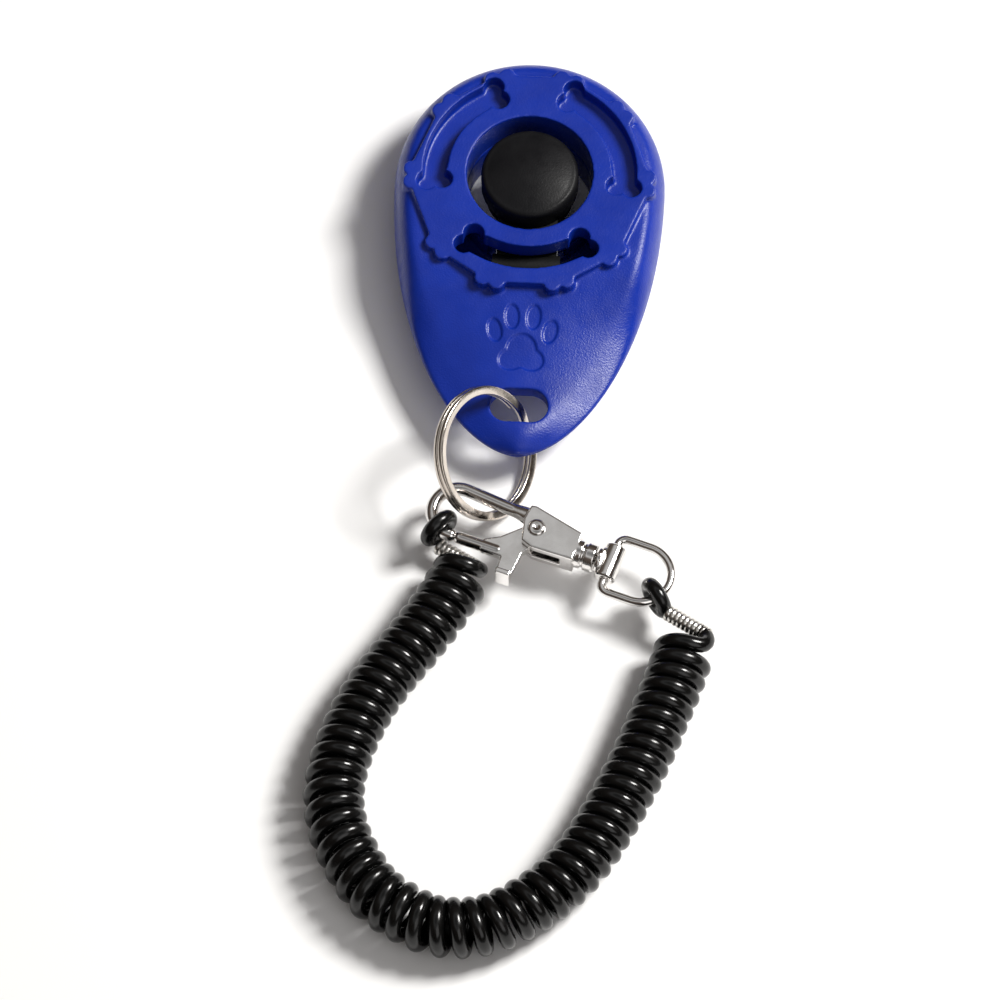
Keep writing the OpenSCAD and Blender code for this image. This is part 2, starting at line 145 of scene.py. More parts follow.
def grid_faces(rows, cols, closed_rows=False):
    """Quads between rows of points that each close round."""
    faces = []
    for i in range(rows if closed_rows else rows - 1):
        for k in range(cols):
            a, b = i * cols + k, i * cols + (k + 1) % cols
            c, d = ((i + 1) % rows) * cols + (k + 1) % cols, ((i + 1) % rows) * cols + k
            faces.append((a, b, c, d))
    return faces


def prism(name, outline, low, high):
    n = len(outline)
    points = [(x, y, z) for z in (low, high) for x, y in outline]
    faces = grid_faces(2, n) + [tuple(range(n))[::-1], tuple(range(n, 2 * n))]
    return solid(name, points, faces)


def loft(name, levels):
    """A solid through outlines of the same number of points, each at its height."""
    n = len(levels[0][1])
    points = [(x, y, z) for z, outline in levels for x, y in outline]
    caps = [tuple(range(n))[::-1], tuple(range((len(levels) - 1) * n, len(levels) * n))]
    return solid(name, points, grid_faces(len(levels), n) + caps)


def circle(radius, centre=(0, 0), count=96):
    steps = np.linspace(0, math.tau, count, endpoint=False)
    return [(centre[0] + radius * math.cos(a), centre[1] + radius * math.sin(a)) for a in steps]


def block(name, low, high):
    outline = [(low[0], low[1]), (high[0], low[1]), (high[0], high[1]), (low[0], high[1])]
    return prism(name, outline, low[2], high[2])


def lathe(name, profile, count=96):
    """Closed profile of (radius, height) turned about Z."""
    points, n = [], len(profile)
    for a in np.linspace(0, math.tau, count, endpoint=False):
        points += [(r * math.cos(a), r * math.sin(a), z) for r, z in profile]
    return solid(name, points, grid_faces(count, n, closed_rows=True))


def sweep(name, path, section, closed=False, up=(0, 0, 1)):
    """Section points (side, up) carried along a path without twist; section may be a function."""
    path = np.asarray(path, float)
    n = len(path)
    ahead = np.roll(path, -1, 0) if closed else np.vstack([path[1:], 2 * path[-1] - path[-2]])
    behind = np.roll(path, 1, 0) if closed else np.vstack([2 * path[0] - path[1], path[:-1]])
    tangent = ahead - behind
    tangent /= np.linalg.norm(tangent, axis=1)[:, None]
    up = up if abs(tangent[0] @ np.array(up)) < 0.9 else (1, 0, 0)
    side = np.cross(tangent[0], up)
    side /= np.linalg.norm(side)
    points, count = [], 0
    for i in range(n):
        side = side - tangent[i] * (side @ tangent[i])
        side /= np.linalg.norm(side)
        lift = np.cross(side, tangent[i])
        shape = section(i / (n - 1)) if callable(section) else section
        count = len(shape)
        points += [path[i] + side * s + lift * u for s, u in shape]
    faces = grid_faces(n, count, closed_rows=closed)
    if not closed:
        faces += [tuple(range(count))[::-1], tuple(range((n - 1) * count, n * count))]
    return solid(name, points, faces)


def round_bar(name, path, radius, sides=28, closed=False, end_rings=6):
    """Round bar along a path, with its open ends rounded off."""
    unit = np.array(circle(1, count=sides))
    if closed:
        return sweep(name, path, unit * radius, closed=True)
    path = np.asarray(path, float)
    # Each ring's share of the radius, from an all but closed tip to the full bar
    share = [max(math.sin(math.pi / 2 * k / end_rings), 0.02) for k in range(end_rings)]
    start, end = path[0] - path[1], path[-1] - path[-2]
    start, end = start / np.linalg.norm(start), end / np.linalg.norm(end)
    low = [path[0] + start * radius * math.sqrt(1 - r ** 2) for r in share]
    high = [path[-1] + end * radius * math.sqrt(1 - r ** 2) for r in share[::-1]]
    full = np.vstack([low, path, high])
    radii = [r * radius for r in share] + [radius] * len(path) + [r * radius for r in share[::-1]]
    return sweep(name, full, lambda t: unit * radii[round(t * (len(full) - 1))])


def arc(centre, radius, start, end, count=24, z=0.0):
    steps = np.radians(np.linspace(start, end, count))
    return [(centre[0] + radius * math.cos(a), centre[1] + radius * math.sin(a), z) for a in steps]


def bake(obj):
    """Applies the modifiers of an object."""
    bpy.context.view_layer.update()
    shown = obj.evaluated_get(bpy.context.evaluated_depsgraph_get())
    mesh = bpy.data.meshes.new_from_object(shown)
    obj.modifiers.clear()
    obj.data = mesh
    return obj


def carve(base, join=(), cut=()):
    """Joins solids to base, then cuts others from it, in that order."""
    for tool, operation in [(t, "UNION") for t in join] + [(t, "DIFFERENCE") for t in cut]:
        step = base.modifiers.new("step", "BOOLEAN")
        step.operation, step.solver, step.object = operation, "MANIFOLD", tool
    bake(base)
    for tool in [*join, *cut]:
        bpy.data.objects.remove(tool)
    return base


def moulded(obj, voxel, passes):
    """Remeshes evenly and softens each edge, as a mould or a casting does."""
    remesh = obj.modifiers.new("remesh", "REMESH")
    remesh.mode, remesh.voxel_size = "VOXEL", voxel
    soften = obj.modifiers.new("soften", "SMOOTH")
    soften.factor, soften.iterations = 0.5, passes
    return bake(obj)


def points_of(obj):
    points = np.zeros(len(obj.data.vertices) * 3)
    obj.data.vertices.foreach_get("co", points)
    return points.reshape(-1, 3)


def set_points(obj, points):
    obj.data.vertices.foreach_set("co", points.ravel())
    obj.data.update()


def in_clasp(obj):
    """Moves a solid from the clasp's own frame to its place."""
    obj.data.transform(CLASP_PLACE)
    return obj


def clasp_point(point):
    return np.array(CLASP_PLACE @ Vector(point))


def piece(obj, material, slot, body, *nodes):
    """Finishes a piece: metres, smooth shading, material, and the body that it rides on."""
    obj.data.transform(Matrix.Scale(MM, 4))
    obj.data.materials.clear()
    obj.data.materials.append(material)
    obj.data.shade_smooth()
    if nodes:
        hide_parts(*nodes)
    if body:
        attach(obj, body)
    return obj


# ---------------------------------------------------------------- materials
def node(tree, kind, settings=None, **sockets):
    """Adds a node; sockets are named with _ for a space, and take a value or another socket."""
    new = tree.nodes.new("ShaderNode" + kind)
    for key, value in (settings or {}).items():
        setattr(new, key, value)
    for key, value in sockets.items():
        socket = new.inputs[key.replace("_", " ")]
        if isinstance(value, bpy.types.NodeSocket):
            tree.links.new(value, socket)
        else:
            socket.default_value = value
    return new


def noise(tree, scale, detail=3.0, stretch=(1, 1, 1)):
    place = node(tree, "TexCoord").outputs["Object"]
    if stretch != (1, 1, 1):
        place = node(tree, "Mapping", Vector=place, Scale=stretch).outputs["Vector"]
    return node(tree, "TexNoise", Vector=place, Scale=scale, Detail=detail).outputs["Fac"]


def spread(tree, source, low, high, start=0.35, end=0.65):
    return node(
        tree, "MapRange", Value=source, From_Min=start, From_Max=end, To_Min=low, To_Max=high
    ).outputs["Result"]


def blend_colour(tree, factor, first, second):
    mix = node(tree, "Mix", {"data_type": "RGBA"})
    tree.links.new(factor, mix.inputs["Factor"])
    for socket, value in (("A", first), ("B", second)):
        target = [s for s in mix.inputs if s.name == socket and s.type == "RGBA"][0]
        if isinstance(value, bpy.types.NodeSocket):
            tree.links.new(value, target)
        else:
            target.default_value = (*value, 1)
    return [s for s in mix.outputs if s.type == "RGBA"][0]


def material(name, colour, tint, rough, grain, waves=(90, 0.0), wear=0.0, stretch=(1, 1, 1), **extra):
    """A finish: two near colours mottled together, a roughness that varies, a fine grain and
    slow waves in the surface, and paler worn edges."""
    finish = bpy.data.materials.new(name)
    finish.use_nodes = True
    tree = finish.node_tree
    shader = tree.nodes["Principled BSDF"]
    mottle = spread(tree, noise(tree, 180), 0, 1)
    shade = blend_colour(tree, mottle, colour, tint)
    gloss = spread(tree, noise(tree, 420, 5.0, stretch), rough[0], rough[1])
    if wear:
        edge = node(tree, "NewGeometry").outputs["Pointiness"]
        worn = spread(tree, edge, 0, wear, 0.53, 0.62)
        scuffs = node(tree, "Math", {"operation": "MULTIPLY"})
        tree.links.new(worn, scuffs.inputs[0])
        tree.links.new(spread(tree, noise(tree, 900), 0.2, 1), scuffs.inputs[1])
        pale = tuple(min(1, c * 1.6 + 0.03) for c in colour)
        shade = blend_colour(tree, scuffs.outputs["Value"], shade, pale)
    tree.links.new(shade, shader.inputs["Base Color"])
    tree.links.new(gloss, shader.inputs["Roughness"])
    slow = node(
        tree, "Bump", Height=noise(tree, waves[0], 1.0), Strength=1.0, Distance=waves[1] * MM
    )
    fine = node(
        tree, "Bump", Height=noise(tree, grain[0], 2.0, stretch), Strength=1.0,
        Distance=grain[1] * MM, Normal=slow.outputs["Normal"]
    )
    tree.links.new(fine.outputs["Normal"], shader.inputs["Normal"])
    for key, value in extra.items():
        shader.inputs[key.replace("_", " ")].default_value = value
    return finish


BLUE = material(
    "shell_blue", (0.003, 0.021, 0.265), (0.004, 0.025, 0.30), (0.29, 0.39), (3400, 0.045),
    wear=0.22, Specular_IOR_Level=0.33
)
BUTTON = material(
    "button_black", (0.005, 0.005, 0.006), (0.008, 0.008, 0.009), (0.36, 0.5), (3000, 0.03), wear=0.15,
    Specular_IOR_Level=0.13
)
INNER_BLACK = material(
    "mechanism_black", (0.004, 0.004, 0.004), (0.007, 0.007, 0.007), (0.5, 0.65), (2400, 0.03),
    Specular_IOR_Level=0.2
)
CORD = material(
    "cord_black", (0.002, 0.002, 0.002), (0.004, 0.004, 0.004), (0.14, 0.26), (1500, 0.010),
    waves=(300, 0.02), Specular_IOR_Level=0.4
)
RING = material(
    "ring_nickel", (0.70, 0.64, 0.58), (0.60, 0.54, 0.48), (0.10, 0.24), (1800, 0.008),
    waves=(240, 0.02), wear=0.4, Metallic=1.0
)
CLASP = material(
    "clasp_nickel", (0.84, 0.82, 0.80), (0.76, 0.74, 0.72), (0.07, 0.20), (1400, 0.008),
    waves=(160, 0.05), wear=0.4, Metallic=1.0
)
CRIMP = material(
    "crimp_steel", (0.74, 0.72, 0.68), (0.62, 0.60, 0.56), (0.18, 0.34), (2000, 0.015), wear=0.5,
    Metallic=1.0
)
STEEL = material(
    "spring_steel", (0.56, 0.56, 0.58), (0.44, 0.45, 0.48), (0.16, 0.32), (1800, 0.012),
    stretch=(6, 1, 1), Metallic=1.0
)


# ---------------------------------------------------------------- wrist cord
def unit_vector(way):
    return way / np.linalg.norm(way)


def smooth_curve(points, step, fineness=40):
    """Even steps along a Catmull-Rom curve through the points, and how far along each one is."""
    points = np.array(points, float)
    p = np.array([2 * points[0] - points[1], *points, 2 * points[-1] - points[-2]])
    dense = []
    for i in range(1, len(p) - 2):
        t = np.linspace(0, 1, fineness, endpoint=False)[:, None]
        dense.append(0.5 * (
            2 * p[i] + (p[i + 1] - p[i - 1]) * t
            + (2 * p[i - 1] - 5 * p[i] + 4 * p[i + 1] - p[i + 2]) * t ** 2
            + (3 * p[i] - p[i - 1] - 3 * p[i + 1] + p[i + 2]) * t ** 3
        ))
    dense = np.vstack([*dense, p[-2:-1]])
    run = np.concatenate([[0], np.cumsum(np.linalg.norm(np.diff(dense, axis=0), axis=1))])
    even = np.linspace(0, run[-1], round(run[-1] / step) + 1)
    return np.stack([np.interp(even, run, dense[:, k]) for k in range(dense.shape[1])], 1), even


def smoothstep(x):
    x = np.clip(x, 0, 1)
    return x * x * (3 - 2 * x)


def coil_path():
    """The cord's own middle line where it is wound round the route."""
    route, run = smooth_curve(COIL_ROUTE, 0.06)
    tangent = np.gradient(route, axis=0)
    tangent /= np.linalg.norm(tangent, axis=1)[:, None]
    side = np.stack([-tangent[:, 1], tangent[:, 0]], 1)
    # The turns open out round the bend, from 34 to 118 mm along, easing in and out over 20 mm
    bottom = smoothstep((run - 34) / 20) * (1 - smoothstep((run - 98) / 20))
    pitch = COIL_PITCH + BEND_PITCH * bottom
    turned_by = np.concatenate([[0], np.cumsum(np.diff(run) / pitch[1:])])
    turns = round(turned_by[-1]) + (COIL_ENDS[1] - COIL_ENDS[0]) / 360
    angle = math.tau * turned_by * turns / turned_by[-1] + math.radians(COIL_ENDS[0])
    wobble = 1 + 0.006 * np.sin(run * 0.9) + 0.005 * np.sin(run * 2.3 + 1)
    radius = COIL_R * np.minimum(wobble, 1.0)
    across, lift = radius * np.cos(angle), radius * np.sin(angle)
    return np.stack([
        route[:, 0] + side[:, 0] * across, route[:, 1] + side[:, 1] * across, COIL_R + CORD_D / 2 + lift
    ], 1)


def lead(start, away, end, onward, count=24):
    """A smooth curve that leaves start along away and meets end going onward."""
    t = np.linspace(0, 1, count)[:, None]
    return (
        (2 * t ** 3 - 3 * t ** 2 + 1) * start + (t ** 3 - 2 * t ** 2 + t) * away
        + (3 * t ** 2 - 2 * t ** 3) * end + (t ** 3 - t ** 2) * onward
    )


def even_steps(path, step):
    run = np.concatenate([[0], np.cumsum(np.linalg.norm(np.diff(path, axis=0), axis=1))])
    even = np.linspace(0, run[-1], round(run[-1] / step) + 1)
    return np.stack([np.interp(even, run, path[:, k]) for k in range(3)], 1), run[-1]


def make_cord(overlap=1.5, point_step=0.7):
    """The coiled cord from crimp to crimp; it reaches into each of them by the overlap."""
    helix = coil_path()
    right, left = clasp_point(LOOP_CRIMP[1]), clasp_point(HOOK_CRIMP[1])
    right_way = unit_vector(right - clasp_point(LOOP_CRIMP[0]))
    left_way = unit_vector(clasp_point(HOOK_CRIMP[0]) - left)
    first, last = unit_vector(helix[1] - helix[0]), unit_vector(helix[-1] - helix[-2])
    # The numbers say how strongly each lead is drawn along its two ends
    start = lead(right - right_way * overlap, right_way * 5, helix[0], first * 9)
    end = lead(helix[-1], last * 10, left + left_way * overlap, left_way * 10)
    path, length = even_steps(np.vstack([start[:-1], helix, end[1:]]), point_step)
    cord = round_bar("wrist_cord", path, CORD_D / 2, sides=18)
    piece(cord, CORD, "strap", None, "wrist_coil")
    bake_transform(cord)


make_cord()


# ---------------------------------------------------------------- shell
def taper(y):
    return smoothstep((-y - TAPER_START) / TAPER_LEN)


def dome_h(y):
    head, tail = MID_Z - PLATEAU_STEP, TAIL_H / 2
    return head + (tail - head) * taper(y)


def edge_w(y):
    return HEAD_EDGE + (TAIL_EDGE - HEAD_EDGE) * taper(y)


def outline(u):
    """Points of the shell's outline; u runs once round from the top."""
    s, c = np.sin(u), np.cos(u)
    x = np.where(c >= 0, -SHELL_R * s, -SHELL_R * np.sign(s) * np.abs(s) ** TAIL_BULGE)
    y = np.where(c >= 0, SHELL_R * c, TAIL_LEN * c)
    return np.stack([x, y], 1)


def half_pebble(name, inset, thin, upward, count=240, levels=14):
    """One half of the shell as a plain dome, drawn in from its outline and thinner if asked."""
    u = np.linspace(0, math.tau, count, endpoint=False)
    step = math.radians(1)
    p, t = outline(u), outline(u + step) - outline(u - step)
    t /= np.linalg.norm(t, axis=1)[:, None]
    inward = np.stack([-t[:, 1], t[:, 0]], 1)
    points = []
    for level in range(levels + 1):
        a = math.pi / 2 * level / levels
        q = p + inward * (inset + edge_w(p[:, 1]) * (1 - math.cos(a)))[:, None]
        z = (dome_h(q[:, 1]) - thin) * math.sin(a)
        points += list(np.column_stack([q, MID_Z + z * upward]))
    faces = grid_faces(levels + 1, count) + [tuple(range(count))]
    top, half = levels * count, count // 2
    faces += [
        (top + i, top + i + 1, top + count - i - 1, top + count - i) for i in range(1, half - 1)
    ]
    faces += [(top, top + 1, top + count - 1), (top + half - 1, top + half, top + half + 1)]
    return solid(name, points, faces)


def polar(r, degrees):
    """The point at a radius and an angle."""
    a = math.radians(degrees)
    return np.array([r * math.cos(a), r * math.sin(a)])


def lobe(centre, r, start, end, count=12):
    """Points of a round bone knuckle."""
    return [centre + polar(r, a) for a in np.linspace(start, end, count)]


def bone_outline(turn, grow=0.0, r=15.4, width=3.9, half=37.0, knuckle=1.65, split=1.25, out=0.1):
    """A bone bent to an arc about the button, turned to stand at an angle."""
    k, middle, side = knuckle + grow, r + out, half - 9
    meet = math.degrees(math.acos(split / k))
    end = (
        lobe(polar(middle + split, half), k, half - 70, half + 180 - meet)
        + lobe(polar(middle - split, half), k, half + meet, half + 250)
    )
    outer = [polar(r + width / 2 + grow, a) for a in np.linspace(-side, side, 24)]
    inner = [polar(r - width / 2 - grow, a) for a in np.linspace(side, -side, 24)]
    flipped = [np.array([p[0], -p[1]]) for p in end[::-1]]
    c, s = math.cos(math.radians(turn)), math.sin(math.radians(turn))
    return [(x * c - y * s, x * s + y * c) for x, y in outer + end + inner + flipped]


def plateau_outline(r=1.35, split=1.2, sunk=0.35):
    """The raised plateau: bone ends stand out round its edge, with straight bone sides between."""
    meet = math.degrees(math.asin(split / r))
    points = []
    for a in (0, 42, 73, 107, 138, 180, 222, 253, 287, 318):
        c, side = polar(PLATEAU_R - sunk, a), polar(split, a + 90)
        points += lobe(c - side, r, a - 100, a + meet) + lobe(c + side, r, a - meet, a + 100)
    return [(x, y + PLATEAU_Y) for x, y in points]


def eye_outline(grow=0.0):
    ends = [(EYE_HALF, -90, 90), (-EYE_HALF, 90, 270)]
    return [
        (side + (EYE_R + grow) * math.cos(a), EYE_Y + (EYE_R + grow) * math.sin(a))
        for side, start, end in ends for a in np.radians(np.linspace(start, end, 24))
    ]


def half_shell(name, upward):
    """One half of the shell, sharp-edged: dome, plateau, hollow and collar."""
    low, high = sorted((MID_Z + 2 * upward, MID_Z + (SHELL_H - MID_Z) * upward))
    hollow = half_pebble("hollow", WALL, WALL, upward)
    carve(hollow, cut=[
        block("solid_tail", (-30, -60, -5), (30, SOLID_TAIL_Y, 20)),
        prism("collar", circle(COLLAR_R), -5, 20),
    ])
    hollow.data.transform(Matrix.Translation((0, 0, -0.01 * upward)))
    shell = half_pebble(name, 0, 0, upward)
    carve(shell, join=[prism("plateau", plateau_outline(), low, high)], cut=[hollow])
    return shell


def crown(obj, upward, tail_drop=2.3, paw_sink=0.32):
    """Rounds the tail across its width, and sinks the paw print into the front."""
    p = points_of(obj)
    height = (p[:, 2] - MID_Z) * upward
    share = np.clip(height / dome_h(p[:, 1]), 0, 1)
    along = np.sqrt(np.clip(1 - (np.clip(p[:, 1], -TAIL_LEN, 0) / TAIL_LEN) ** 2, 0.01, 1))
    width = SHELL_R * along ** TAIL_BULGE
    drop = tail_drop * smoothstep((-p[:, 1] - 14) / 14) * np.clip(np.abs(p[:, 0]) / width, 0, 1) ** 2
    p[:, 2] -= upward * drop * share ** 1.5
    if upward > 0:
        inside = smoothstep(paw_depth(p[:, 0], p[:, 1]) / 0.3 + 0.5)
        p[:, 2] -= paw_sink * inside * (height > 1.5)
    set_points(obj, p)
    return obj


def paw_depth(x, y):
    """How far inside a plain paw print a point lies (mm), positive inside."""
    def oval(cx, cy, rx, ry, lean):
        c, s = math.cos(math.radians(lean)), math.sin(math.radians(lean))
        u, v = (x - cx) * c + (y - cy) * s, -(x - cx) * s + (y - cy) * c
        return (1 - np.hypot(u / rx, v / ry)) * min(rx, ry)
    toes = [oval(-4.5, -27.2, 1.15, 1.95, 14), oval(-1.75, -24.9, 1.15, 2.05, 4),
            oval(1.75, -24.9, 1.15, 2.05, -4), oval(4.5, -27.2, 1.15, 1.95, -14)]
    pad = np.maximum(oval(0, -30.6, 2.5, 2.9, 0), np.maximum(
        oval(-1.5, -32.0, 2.2, 1.9, 20), oval(1.5, -32.0, 2.2, 1.9, -20)))
    return np.maximum(pad, np.max(toes, axis=0))


def make_front_shell(pocket_depth=2.5, skirt_depth=3.7, skirt_h=1.9, skirt_wall=1.1):
    """Front half, with two bone-shaped pockets and the sound slot; a skirt backs each of them."""
    shell = half_shell("front_cover", 1)
    pocket, skirt = SHELL_H - pocket_depth, SHELL_H - skirt_depth
    skirts = [
        prism("skirt", bone_outline(a, skirt_wall), skirt, skirt + skirt_h) for a in (30, 150, 270)
    ]
    pockets = [prism("pocket", bone_outline(a), pocket, SHELL_H + 1) for a in (30, 150)]
    carve(shell, join=skirts, cut=[
        *pockets,
        prism("sound_slot", bone_outline(270), skirt - 1, SHELL_H + 1),
        prism("hole", circle(HOLE_R), MID_Z - 1, SHELL_H + 1),
        block("window", *WINDOW),
        prism("eye", eye_outline(), -1, SHELL_H + 1),
    ])
    return crown(moulded(shell, *SHELL_FINISH), 1)


def make_back_shell():
    """Back half, with the key eye flared out towards the back."""
    shell = half_shell("back_cover", -1)
    carve(shell, cut=[
        prism("hole", circle(HOLE_R), -1, MID_Z + 1),
        block("window", *WINDOW),
        prism("eye", eye_outline(), -1, SHELL_H + 1),
        loft("flare", [(3.7, eye_outline(2.7)), (6.9, eye_outline())]),
    ])
    return crown(moulded(shell, *SHELL_FINISH), -1)


piece(make_front_shell(), BLUE, "shell", "clicker", "front_shell")
piece(make_back_shell(), BLUE, "shell", "clicker", "back_shell")


# ---------------------------------------------------------------- button
def make_button(cap_r=7.9, low=9.4, top=15.0, crown_h=1.1, rim=0.9, socket=2.22, socket_top=11.9):
    """Domed cap with a rolled rim, and the socket that the lever's peg goes into."""
    profile = [(socket, socket_top), (socket, low + 0.2), (socket + 0.2, low), (cap_r - 0.3, low)]
    profile += [(cap_r, low + 0.3)]
    shoulder = top - crown_h - rim
    profile += [
        (cap_r - rim + rim * math.cos(a), shoulder + rim * math.sin(a))
        for a in np.linspace(0, math.pi / 2, 10)
    ]
    for k in range(1, 16):
        r = (cap_r - rim) * (1 - k / 16)
        profile.append((r, top - crown_h * (r / (cap_r - rim)) ** 2))
    profile += [(0, top), (0, socket_top)]
    return lathe("thumb_button", profile, 128)


piece(make_button(), BUTTON, "button", "button", "button_cap")


# ---------------------------------------------------------------- key ring
def rounded_box(width, height, corner, count=5):
    points = []
    for sx, sy, start in ((1, 1, 0), (-1, 1, 90), (-1, -1, 180), (1, -1, 270)):
        centre = (sx * (width / 2 - corner), sy * (height / 2 - corner))
        points += [
            (centre[0] + corner * math.cos(a), centre[1] + corner * math.sin(a))
            for a in np.radians(np.linspace(start, start + 90, count))
        ]
    return points


def make_ring(radius=10.2, width=1.5, height=1.8, cross=0.35, gap=0.04, seam=math.radians(64)):
    """Two flat turns of one wire; it steps from the lower turn to the upper one at the seam."""
    turn_h = (height - gap) / 2
    rise = (turn_h + gap) / 2
    path = []
    for a in np.linspace(cross, 2 * math.tau - cross, 361):
        z = -rise + 2 * rise * smoothstep((a - math.tau + cross) / (2 * cross))
        path.append((radius * math.cos(a + seam), radius * math.sin(a + seam), z))
    ring = sweep("key_ring", path, rounded_box(width, turn_h, 0.3))
    tilt = Matrix.Rotation(math.radians(-21), 4, "Z") @ Matrix.Rotation(math.radians(50), 4, "Y")
    ring.data.transform(Matrix.Translation((-5, -48.7, 9.1)) @ tilt)
    return ring


piece(make_ring(), RING, "ring_metal", "ring", "split_ring")


# ---------------------------------------------------------------- clasp, in its own frame
HOOK_C, HOOK_R, HOOK_BAR = (5.3, 0.0), 4.2, 1.1
LOOP_C, LOOP_R = (36.6, 0), 5
RIVET = (18.5, 0.8)


def turned(name, profile, start, way):
    """A turned part: profile of (distance along the axis, radius) from start along way."""
    body = lathe(name, [(r, d) for d, r in profile], 64)
    aim = Vector((0, 0, 1)).rotation_difference(Vector(way)).to_matrix().to_4x4()
    body.data.transform(Matrix.Translation(start) @ aim)
    return body


def make_clasp_body():
    """Hook, two cheeks with the gate's slot between, and the collar that the swivel turns in."""
    path = arc(HOOK_C, HOOK_R, 273, 90, 60)
    path += [(x, 4.2 - 1.0 * (x - 5.3) / 11.7, 0) for x in np.linspace(5.8, 17.4, 16)]
    body = round_bar("snap_hook", path, HOOK_BAR, sides=40)
    plate = [
        (16.3, 4.3), (17.2, 4.5), (25.8, 2.5), (25.8, -2.5), (19, -2.7), (16.9, -1.9), (16, 1.8)
    ]
    collar = turned("collar", [
        (-0.3, 0), (-0.3, 2.1), (0, 2.4), (1.7, 2.4), (1.85, 2.05), (2.25, 2.05), (2.4, 2.4),
        (3.8, 2.4), (4, 2.2), (4, 0)
    ], (25, 0, 0), (1, 0, 0))
    gusset = turned("gusset", [(0, 0), (0, 1.0), (4.6, 1.8), (4.6, 0)], (13, 3.54, 0), (4.6, -0.4, 0))
    carve(body, join=[prism("plate", plate, -2.4, 2.4), collar, gusset], cut=[
        block("gate_slot", (12, -6, -0.95), (23.6, 2.6, 0.95)),
        prism("rivet_bore", circle(0.87, RIVET), -4, 4),
        turned("head_room", [(0, 0), (0, 1.8), (2.4, 1.8), (2.4, 0)], (22.6, 0, 0), (1, 0, 0)),
        turned("stem_bore", [(0, 0), (0, 1.05), (8, 1.05), (8, 0)], (22.6, 0, 0), (1, 0, 0)),
    ])
    return in_clasp(moulded(body, 0.11, 11))


def make_trigger(half_thick=0.85):
    """Spring gate: the bar that closes the hook, its root on the rivet, and the thumb tab."""
    tip, heel = np.array((7.1, -4.2, 0)), np.array((13.5, -4.2, 0))
    bar = [tip + (heel - tip) * t for t in np.linspace(0, 1, 12)]
    gate = round_bar("gate_lever", bar, 1.0)
    root = [
        (11, -5.1), (14.6, -5.2), (14.8, -8.4), (17.2, -8.4), (17.6, -3.4), (20, -0.2), (17.2, 1.9),
        (15.6, 0.3), (13.4, -1.9), (11, -3.3)
    ]
    thumb = block("thumb", (14.8, -8.65, -2.1), (17.2, -7.75, 2.1))
    hub = prism("hub", circle(1.7, RIVET), -half_thick, half_thick)
    carve(gate, join=[prism("root", root, -half_thick, half_thick), hub, thumb], cut=[
        prism("bore", circle(0.9, RIVET), -3, 3), prism("recess", circle(1.9, RIVET), -1, -0.35)
    ])
    return in_clasp(moulded(gate, 0.1, 4))


def make_rivet():
    """Peened rivet: each head is domed, with a small punch mark in the middle."""
    half = [
        (0, 2.62), (0.3, 2.66), (0.5, 2.86), (0.85, 2.88), (1.2, 2.8), (1.42, 2.62), (1.5, 2.42),
        (0.85, 2.4)
    ]
    profile = half + [(r, -z) for r, z in half[::-1]]
    rivet = lathe("gate_rivet", profile, 64)
    rivet.data.transform(Matrix.Translation((*RIVET, 0)))
    return in_clasp(rivet)


def make_swivel_post():
    """Headed stem that turns in the collar, with the cross barrel that holds the D-loop."""
    stem = turned("swivel_pin", [
        (0, 0), (0, 1.4), (0.15, 1.6), (1.1, 1.6), (1.2, 1.0), (6, 1.0), (6.05, 2.0), (6.2, 2.2),
        (6.65, 2.2), (6.8, 2.0), (6.85, 1.1), (8, 1.1), (8, 0)
    ], (23.2, 0, 0), (1, 0, 0))
    barrel = turned("barrel", [
        (0, 0), (0, 1.5), (0.3, 1.8), (5.9, 1.8), (6.2, 1.5), (6.2, 0)
    ], (31.4, -3.1, 0), (0, 1, 0))
    bores = [
        turned("bore", [(0, 0), (0, 0.77), (3, 0.77), (3, 0)], (31.4, 1.2 * s, 0), (0, s, 0))
        for s in (-1, 1)
    ]
    carve(stem, join=[barrel], cut=bores)
    return in_clasp(moulded(stem, 0.09, 4))


def make_loop():
    """The D-loop: both ends turn into the swivel's cross barrel."""
    wire = [(31.4, y, 0) for y in (1.3, 1.8, 2.4, 3.0)] + arc((32.8, 3.6), 1.4, 180, 90, 10)[1:]
    wire += [(x, 5, 0) for x in (33.5, 34.5, 35.5)] + arc(LOOP_C, LOOP_R, 90, 0, 24)
    mirrored = [(x, -y, z) for x, y, z in wire[:-1]][::-1]
    path = even_steps(np.array(wire + mirrored), 0.35)[0]
    return in_clasp(round_bar("d_loop", path, 0.75))


def make_eye(name, centre, radius, degrees, ring_r=2.4):
    """A ring of cord round a bar that is bent about the centre; it stands across the bar."""
    angle = math.radians(degrees)
    c = np.array([centre[0] + radius * math.cos(angle), centre[1] + radius * math.sin(angle), 0])
    out = np.array([math.cos(angle), math.sin(angle), 0])
    ring = [
        c + ring_r * (out * math.cos(a) + np.array([0, 0, math.sin(a)]))
        for a in np.linspace(0, math.tau, 72, endpoint=False)
    ]
    return in_clasp(round_bar(name, ring, EYE_CORD_D / 2, sides=22, closed=True))


def make_crimp(name, start, end, ribs=10, radius=1.35, bore=1.02, rib_h=0.16):
    """Ribbed ferrule: its ribs are the turns of the wire that is wound tight round the cord."""
    start, end = np.array(start, float), np.array(end, float)
    length = np.linalg.norm(end - start)
    d = np.linspace(0, length, ribs * 12 + 1)
    wave = np.abs(np.sin(math.pi * ribs * d / length)) ** 0.7
    ribbed = [(x, radius - rib_h + rib_h * w) for x, w in zip(d, wave)]
    profile = [(0.1, bore), *ribbed, (length - 0.1, bore)]
    return in_clasp(turned(name, profile, start, (end - start) / length))


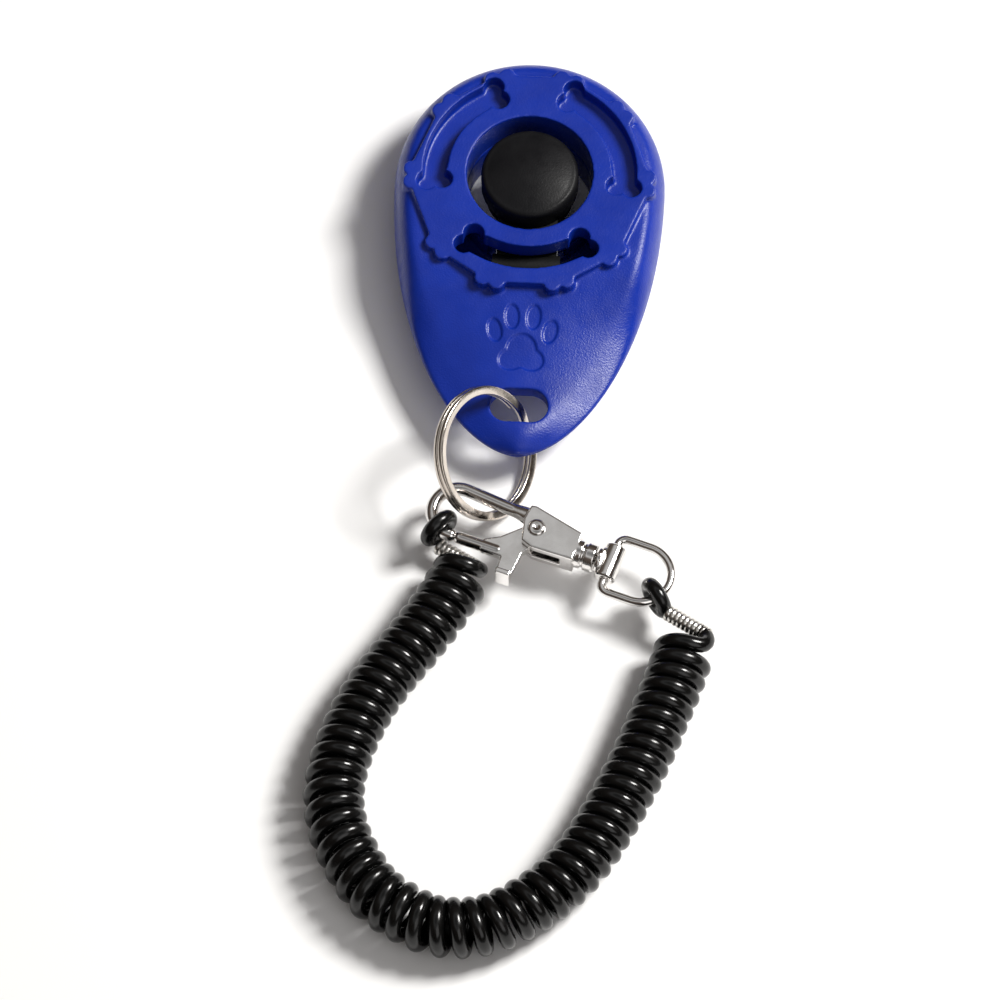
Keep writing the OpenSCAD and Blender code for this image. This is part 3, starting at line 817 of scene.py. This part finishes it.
piece(make_clasp_body(), CLASP, "clasp_metal", "clasp", "clasp_body")
piece(make_rivet(), CLASP, "clasp_metal", "clasp", "trigger_rivet")
piece(make_trigger(), CLASP, "clasp_metal", "trigger", "clasp_trigger")
piece(make_swivel_post(), CLASP, "clasp_metal", "swivel", "swivel_post")
piece(make_loop(), CLASP, "clasp_metal", "swivel", "swivel_loop")
piece(make_eye("hook_eye", HOOK_C, HOOK_R, 243), CORD, "strap", "clasp", "cord_eye_left")
piece(make_eye("loop_eye", LOOP_C, LOOP_R, -38), CORD, "strap", "swivel", "cord_eye_right")
piece(make_crimp("hook_crimp", *HOOK_CRIMP), CRIMP, "strap", "clasp", "crimp_left")
piece(make_crimp("loop_crimp", *LOOP_CRIMP), CRIMP, "strap", "swivel", "crimp_right")


# ---------------------------------------------------------------- CAD nodes that stay
CARRIED = {
    "click_plate": STEEL, "plate_clamp": INNER_BLACK, "clamp_screws": STEEL, "pivot_pin": STEEL,
    "button_lever": INNER_BLACK, "trigger_spring": STEEL,
}
for name, finish in CARRIED.items():
    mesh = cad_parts[name].data
    mesh.materials.clear()
    mesh.materials.append(finish)


# ---------------------------------------------------------------- floor and light
def add_floor(half=1.5):
    outline_points = [(-half, -half, 0), (half, -half, 0), (half, half, 0), (-half, half, 0)]
    floor = solid("floor", outline_points, [(0, 1, 2, 3)])
    paper = bpy.data.materials.new("pale_floor")
    paper.use_nodes = True
    shader = paper.node_tree.nodes["Principled BSDF"]
    shader.inputs["Base Color"].default_value = (0.93, 0.93, 0.93, 1)
    shader.inputs["Roughness"].default_value = 0.9
    floor.data.materials.append(paper)


def add_world(dim=0.11, warm=(1.15, 0.92, 0.78)):
    """A studio's soft surroundings: a bright band high up, and mostly dim and warm below it."""
    world = bpy.data.worlds.new("studio")
    world.use_nodes = True
    tree = world.node_tree
    way = node(tree, "SeparateXYZ", Vector=node(tree, "TexCoord").outputs["Generated"])
    ramp = node(tree, "ValToRGB", Fac=way.outputs["Z"])
    stops = ((0.0, 0.22), (0.22, 0.04), (0.5, 0.07), (0.76, 0.10), (0.9, 0.58), (1.0, 0.16))
    while len(ramp.color_ramp.elements) < len(stops):
        ramp.color_ramp.elements.new(0.5)
    for element, (place, level) in zip(ramp.color_ramp.elements, stops):
        tone = warm if level < dim else (1, 1, 1)
        element.position, element.color = place, (*(level * c for c in tone), 1)
    tree.links.new(ramp.outputs["Color"], tree.nodes["Background"].inputs["Color"])
    scene.world = world


add_floor()
add_world()
add_light("key", (0.60, 0.20, 0.77), (0.30, 0.30), 13.5, (1, 0.985, 0.96))
add_light("fill", (0.40, -0.70, 0.60), (0.6, 0.6), 1.4)
scene.view_settings.view_transform = "Standard"
